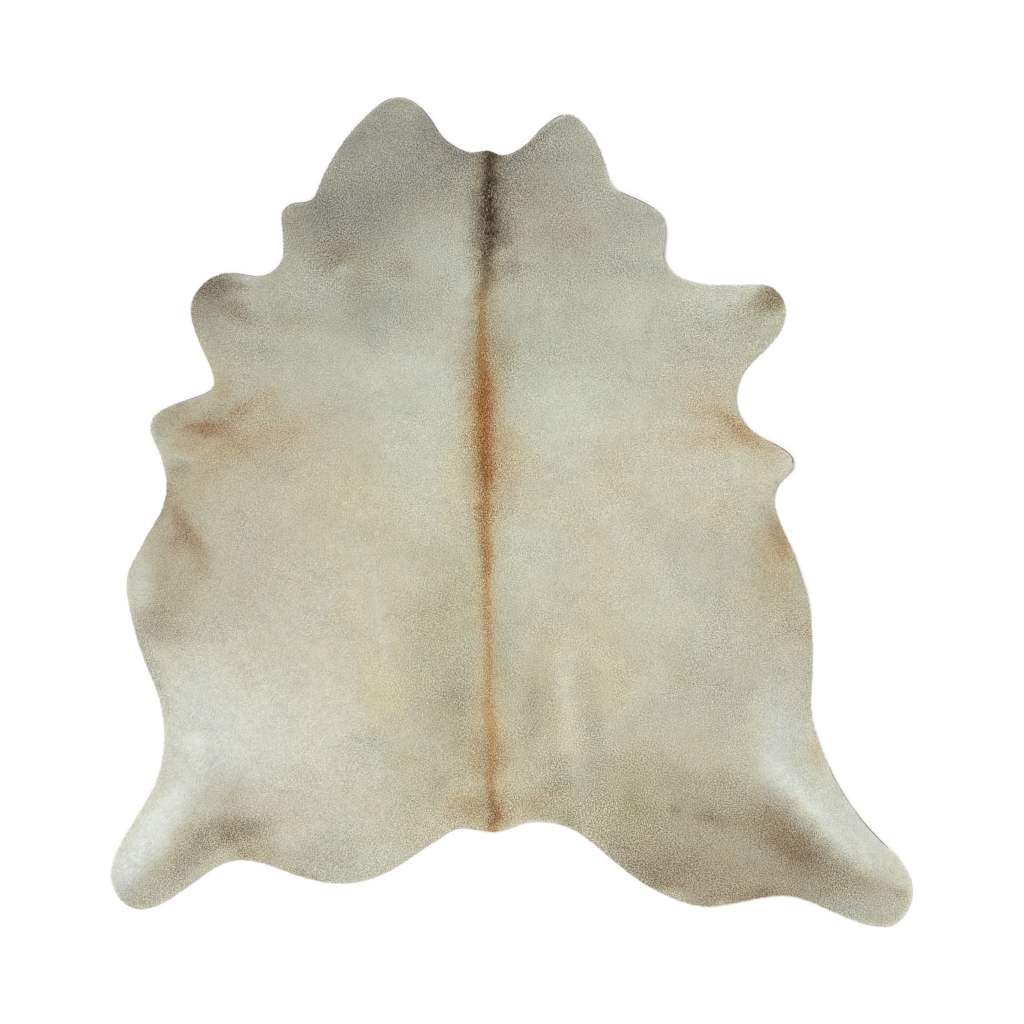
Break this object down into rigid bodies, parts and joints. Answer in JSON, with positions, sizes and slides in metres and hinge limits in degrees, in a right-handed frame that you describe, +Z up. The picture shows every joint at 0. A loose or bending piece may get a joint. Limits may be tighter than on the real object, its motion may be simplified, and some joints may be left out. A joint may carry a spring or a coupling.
{
  "type": "cowhide rug",
  "caption": "Floor rug made of a single cattle hide with its pale short hair on, in the hide's natural outline with leg and shoulder lobes and a brown line down the back.",
  "frame": {"origin": "on the surface that the rug lies on, under the middle of the rug's box", "axes": "+Z up out of the hair side; +Y along the back from the tail to the neck, which is the rug's longest side; +X across, towards the right flank as seen from above with the neck at the far end"},
  "size_m": [2.125, 2.2, 0.016],
  "materials": {
    "coat": "matt, short lying hair",
    "suede": "matt, buffed flesh side and cut edge"
  },
  "bodies": {
    "root": {"hide": "coat"}
  },
  "joints": []
}
